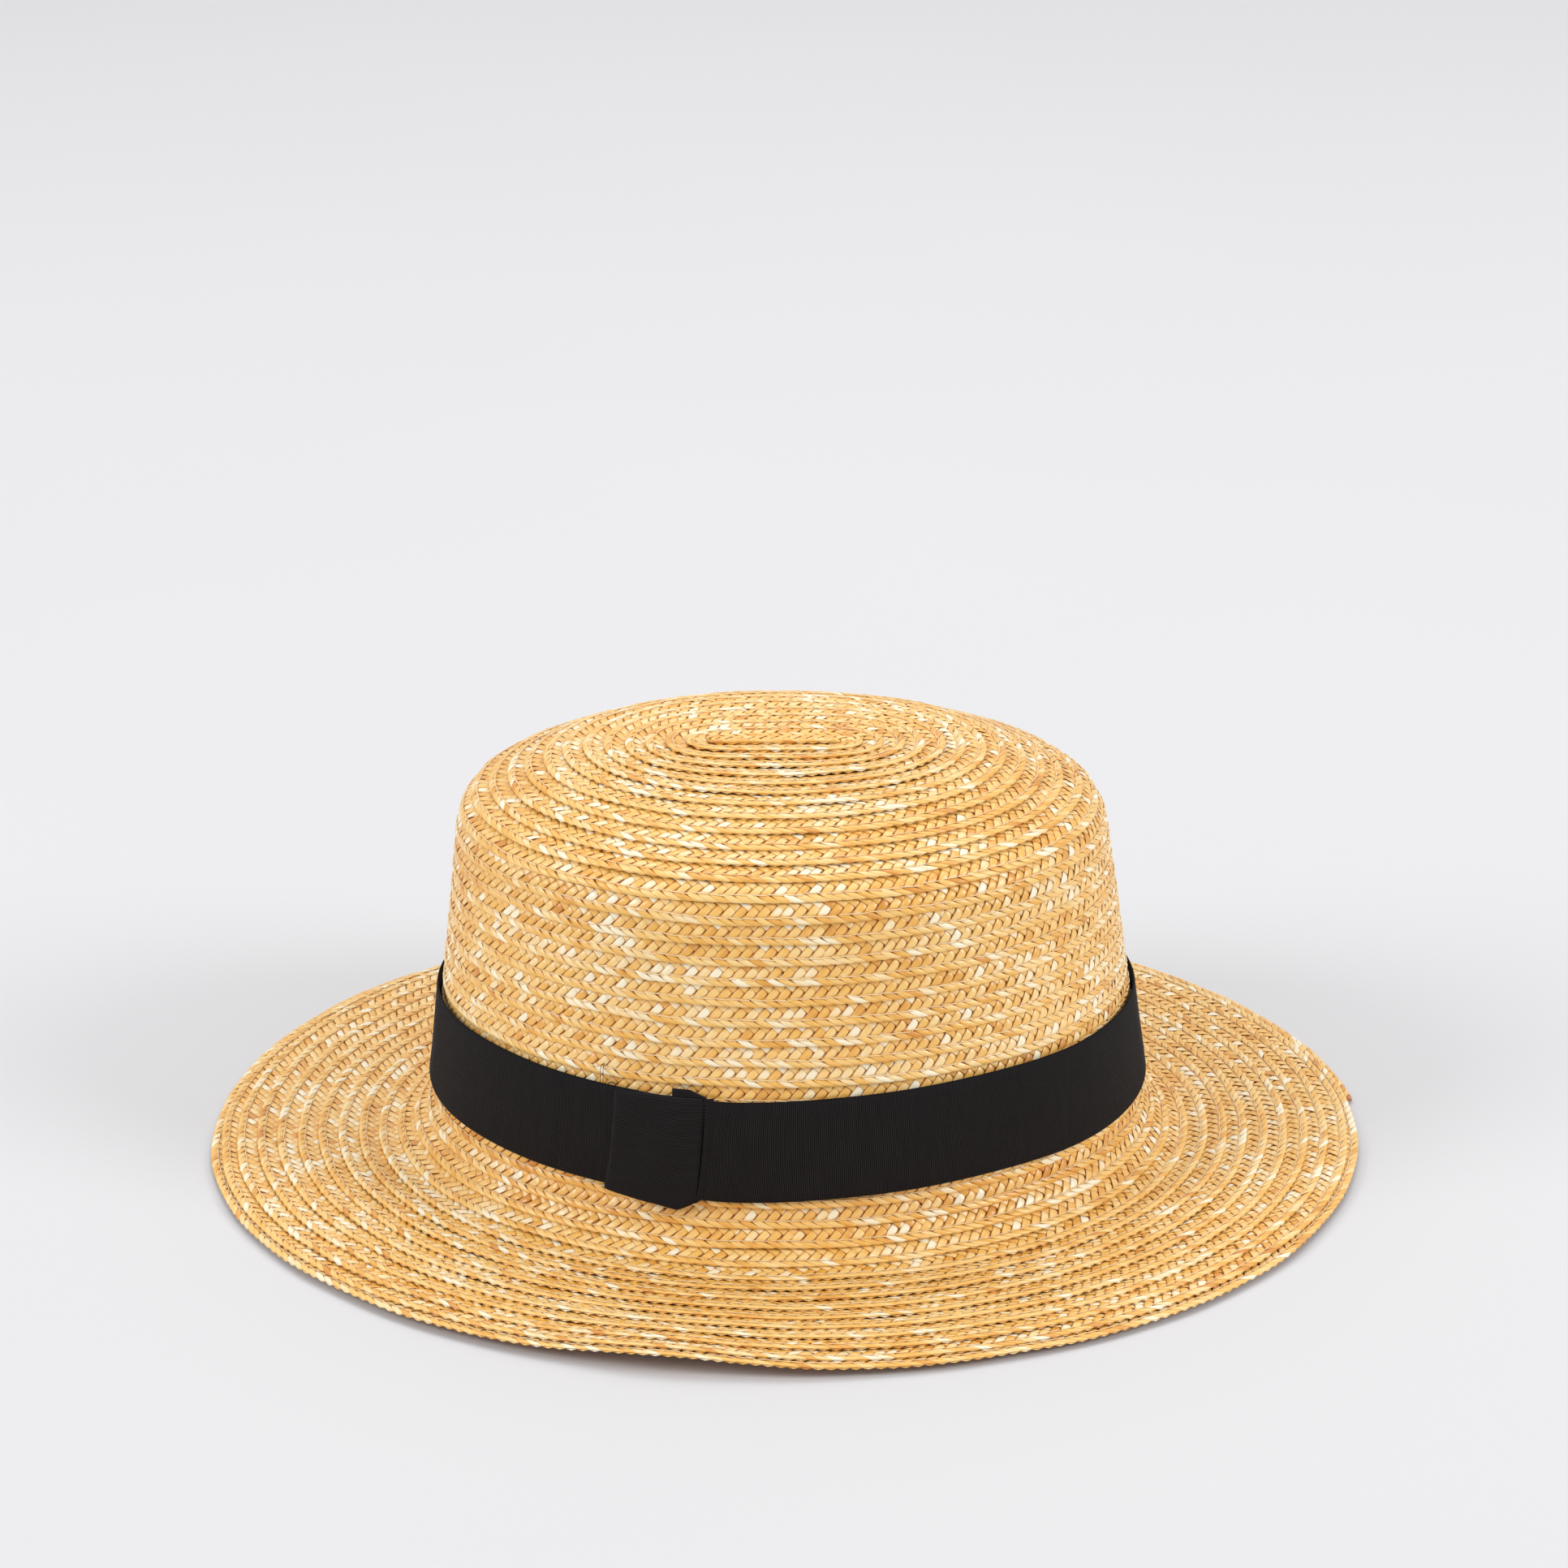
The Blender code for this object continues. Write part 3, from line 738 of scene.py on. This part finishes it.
def build_sweatband(lining, thread):
    end = SWEATBAND_START + ROUND + SWEATBAND_LAP
    band = add_piece("sweatband_cloth", band_mesh(
        "sweatband_cloth", SWEATBAND_START, end, SWEATBAND_TOP, SWEATBAND_WIDTH,
        SWEATBAND_OFFSET, SWEATBAND_THICKNESS, -1.0, sweatband_shape, crown_point),
        lining, ("sweatband",))
    count = int(ROUND / (4.2 * MM))
    phase = np.array([0.0, 0.08, 0.3, 0.55, 0.8, 0.92])
    along = SWEATBAND_START + (np.arange(count)[:, None] + phase[None]) * ROUND / count
    distance = SWEATBAND_TOP + SWEATBAND_WIDTH - 2.0 * MM + 0.0 * along
    depth = np.array([0.2, 0.66, 0.80, 0.82, 0.80, 0.60]) * MM + 0.0 * along
    centres = np.stack([along, distance, SWEATBAND_OFFSET - depth], axis=-1).reshape(-1, 3)
    mesh = tube_mesh("sweatband_stitching", centres, 0.16 * MM, 6, crown_point)
    return [band, add_piece("sweatband_stitching", mesh, thread,
                            ("sweatband_thread",))]


# ---------------------------------------------------------------- materials

class Nodes:
    """Short way to put a procedural material together."""

    def __init__(self, name):
        self.material = bpy.data.materials.new(name)
        self.material.use_nodes = True
        self.tree = self.material.node_tree
        self.shader = self.tree.nodes["Principled BSDF"]

    def add(self, kind, inputs=(), **settings):
        node = self.tree.nodes.new(kind)
        for key, value in settings.items():
            setattr(node, key, value)
        for key, value in dict(inputs).items():
            self.put(node.inputs[key], value)
        return node

    def put(self, socket, value):
        if isinstance(value, bpy.types.NodeSocket):
            self.tree.links.new(value, socket)
        else:
            socket.default_value = value

    def math(self, operation, *values, clamp=False):
        node = self.add("ShaderNodeMath", operation=operation, use_clamp=clamp)
        for socket, value in zip(node.inputs, values):
            self.put(socket, value)
        return node.outputs[0]

    def value(self, name, output="Fac"):
        return self.add("ShaderNodeAttribute", attribute_name=name).outputs[output]

    def scaled(self, vector, scale):
        node = self.add("ShaderNodeVectorMath", operation="MULTIPLY")
        self.put(node.inputs[0], vector)
        self.put(node.inputs[1], scale)
        return node.outputs[0]

    def noise(self, vector, scale=1.0, detail=2.0, roughness=0.5):
        node = self.add("ShaderNodeTexNoise", {"Vector": vector, "Scale": scale,
                                               "Detail": detail, "Roughness": roughness})
        return node.outputs["Fac"]

    def ramp(self, factor, *stops):
        node = self.add("ShaderNodeValToRGB", {"Fac": factor})
        elements = node.color_ramp.elements
        while len(elements) < len(stops):
            elements.new(0.5)
        for element, (position, colour) in zip(elements, stops):
            element.position = position
            element.color = (*colour, 1.0)
        return node.outputs["Color"]

    def mix(self, factor, first, second, blend="MIX"):
        node = self.add("ShaderNodeMix", data_type="RGBA", blend_type=blend)
        self.put(node.inputs["Factor"], factor)
        for socket, value in zip((node.inputs[6], node.inputs[7]), (first, second)):
            self.put(socket, value if isinstance(value, bpy.types.NodeSocket) else (*value, 1.0))
        return node.outputs[2]

    def surface(self, **inputs):
        for key, value in inputs.items():
            self.put(self.shader.inputs[key.replace("_", " ")], value)
        return self.material

    def bump(self, height, strength, distance):
        node = self.add("ShaderNodeBump", {"Height": height, "Strength": strength,
                                           "Distance": distance})
        self.put(self.shader.inputs["Normal"], node.outputs["Normal"])


def linear(red, green, blue):
    """Linear colour of an 8-bit sRGB one."""
    return tuple((part / 255 / 12.92) if part <= 10 else ((part / 255 + 0.055) / 1.055) ** 2.4
                 for part in (red, green, blue))


def straw_material():
    """Split wheat straw: silky, streaked along its length, from honey to cream, with painted shade
    in the dips of the weave and a painted glint on a few crossings.
    """
    nodes = Nodes("wheat_straw_split")
    grain = nodes.value("grain", "Vector")
    streaks = nodes.noise(nodes.scaled(grain, (3.4, 0.16, 3.7)), detail=3.0, roughness=0.65)
    fibres = nodes.noise(nodes.scaled(grain, (13.0, 0.35, 5.1)), detail=2.0)
    cloud = nodes.noise(nodes.scaled(grain, (0.5, 0.30, 1.9)), detail=1.0)
    tone = nodes.math("MULTIPLY_ADD", nodes.value("tone"), 0.19, 0.48)
    tone = nodes.math("ADD", tone, nodes.math("MULTIPLY_ADD", streaks, 0.50, -0.25))
    tone = nodes.math("ADD", tone, nodes.math("MULTIPLY_ADD", cloud, 0.36, -0.18))
    colour = nodes.ramp(tone,
                        (0.05, linear(220, 148, 52)),
                        (0.33, linear(244, 187, 88)),
                        (0.60, linear(252, 212, 134)),
                        (0.88, linear(255, 243, 210)))
    # painted shade: at a straw's edges and where it runs under others, its colour is darkened
    # towards brown
    unshaded = nodes.math("MULTIPLY", nodes.value("unshaded_share"), 1.5, clamp=True)
    colour = nodes.mix(unshaded, nodes.mix(1.0, colour, linear(186, 126, 62), "MULTIPLY"), colour)
    nodes.bump(fibres, 0.35, 0.00008)
    rough = nodes.math("MULTIPLY_ADD", streaks, 0.22, 0.22)
    return nodes.surface(Base_Color=colour, Roughness=rough, IOR=1.5, Specular_IOR_Level=0.6,
                         Coat_Weight=0.4, Coat_Roughness=0.22)


def ribbon_material(name, dark, pale, roughness, specular, sheen):
    """Grosgrain: the warp crosses each rib of weft as a row of small beads."""
    nodes = Nodes(name)
    cloth = nodes.value("cloth", "Vector")
    parts = nodes.add("ShaderNodeSeparateXYZ", {"Vector": cloth}).outputs
    turn = math.pi / (RIB_SPACING / MM)
    other = nodes.math("SINE", nodes.math("MULTIPLY", parts["X"], turn))
    beads = nodes.math("MULTIPLY", other, nodes.math(
        "SINE", nodes.math("MULTIPLY", parts["Y"], 2.0 * turn)))
    beads = nodes.math("MULTIPLY_ADD", beads, 0.5, 0.5)
    uneven = nodes.noise(nodes.scaled(cloth, (0.5, 0.10, 0.0)), detail=3.0)
    # painted highlight: the tops of the beads on each rib are painted paler than the rest of the
    # cloth
    painted_bead_highlight = nodes.math("MULTIPLY", nodes.math("POWER", parts["Z"], 2.0), beads)
    painted_bead_highlight = nodes.math("MULTIPLY", painted_bead_highlight, nodes.math("MULTIPLY_ADD", uneven, 0.9, 0.5), clamp=True)
    nodes.bump(beads, 0.5, 0.00010)
    rough = nodes.math("MULTIPLY_ADD", uneven, 0.14, roughness - 0.07)
    return nodes.surface(Base_Color=nodes.mix(painted_bead_highlight, dark, pale), Roughness=rough, IOR=1.5,
                         Specular_IOR_Level=specular, Sheen_Weight=sheen, Sheen_Roughness=0.35)


def thread_material(name, dark, pale, roughness):
    """Spun thread, with its twist as fine noise in colour and bump."""
    nodes = Nodes(name)
    place = nodes.add("ShaderNodeTexCoord").outputs["Object"]
    twist = nodes.noise(place, scale=2600.0, detail=1.0)
    shade = nodes.noise(place, scale=90.0, detail=2.0)
    colour = nodes.mix(nodes.math("MULTIPLY_ADD", twist, 0.5, nodes.math(
        "MULTIPLY", shade, 0.5), clamp=True), dark, pale)
    nodes.bump(twist, 0.4, 0.00006)
    return nodes.surface(Base_Color=colour, Roughness=nodes.math(
        "MULTIPLY_ADD", shade, 0.2, roughness - 0.1), IOR=1.5, Specular_IOR_Level=0.35,
        Sheen_Weight=0.2, Sheen_Roughness=0.5)


# ---------------------------------------------------------------- studio

def build_floor():
    """Wide pale floor with a soft tone of its own."""
    bpy.ops.mesh.primitive_circle_add(vertices=96, radius=6.0, fill_type="NGON")
    floor = bpy.context.active_object
    floor.name = "studio_floor"
    nodes = Nodes("studio_paper")
    place = nodes.add("ShaderNodeTexCoord").outputs["Object"]
    speck = nodes.noise(place, scale=3.0, detail=2.0)
    colour = nodes.mix(speck, linear(216, 216, 218), linear(219, 219, 220))
    floor.data.materials.append(nodes.surface(Base_Color=colour, Roughness=0.9,
                                              Specular_IOR_Level=0.1))


def add_light(name, size, energy, place, target):
    light = bpy.data.lights.new(name, "AREA")
    light.shape = "DISK"
    light.size = size
    light.energy = energy
    lamp = bpy.data.objects.new(name, light)
    bpy.context.scene.collection.objects.link(lamp)
    lamp.location = place
    direction = Vector(target) - Vector(place)
    lamp.rotation_euler = direction.to_track_quat("-Z", "Y").to_euler()


def build_studio():
    """Pale even surroundings, soft lights from both sides and a weaker one from above."""
    build_floor()
    world = bpy.data.worlds.new("studio_light")
    bpy.context.scene.world = world
    world.use_nodes = True
    background = world.node_tree.nodes["Background"]
    background.inputs["Color"].default_value = (*linear(250, 250, 252), 1.0)
    background.inputs["Strength"].default_value = 0.65
    add_light("key", 1.5, 44.0, (-2.8, -1.1, 2.0), (0.0, 0.0, 0.05))
    add_light("fill", 1.3, 44.0, (2.8, -1.1, 1.9), (0.0, 0.0, 0.05))
    add_light("top", 1.8, 15.0, (0.1, 0.8, 2.05), (0.0, 0.4, 0.0))
    bpy.context.scene.view_settings.view_transform = "Standard"


def build_camera():
    """The photographer's place: in front of the hat's left side, looking down on it."""
    camera = bpy.data.cameras.new("camera")
    camera.lens = 111.5
    camera.sensor_width = 36.0
    camera.clip_start = 0.05
    eye = bpy.data.objects.new("camera", camera)
    bpy.context.scene.collection.objects.link(eye)
    eye.location = (-0.0010, -1.2530, 0.6187)
    tilt = Matrix.Rotation(math.radians(90.0 - 22.22), 3, "X")
    roll = Matrix.Rotation(-0.0038, 3, "Z")
    eye.rotation_euler = (tilt @ roll).to_euler()
    bpy.context.scene.camera = eye


build_studio()
build_camera()

straw = straw_material()
black = ribbon_material("black_grosgrain", linear(6, 5, 6), linear(56, 53, 55), 0.7, 0.12, 0.10)
ecru = ribbon_material("ecru_grosgrain", linear(206, 190, 160), linear(240, 230, 208), 0.75, 0.3,
                       0.2)
cream_thread = thread_material("cream_thread", linear(236, 200, 140), linear(254, 236, 196), 0.6)
black_thread = thread_material("black_thread", linear(14, 12, 12), linear(52, 40, 34), 0.5)

build_plait(straw)
build_threads(cream_thread)
build_ribbon(black)
build_tack(black_thread)
build_sweatband(ecru, cream_thread)

bpy.context.view_layer.update()
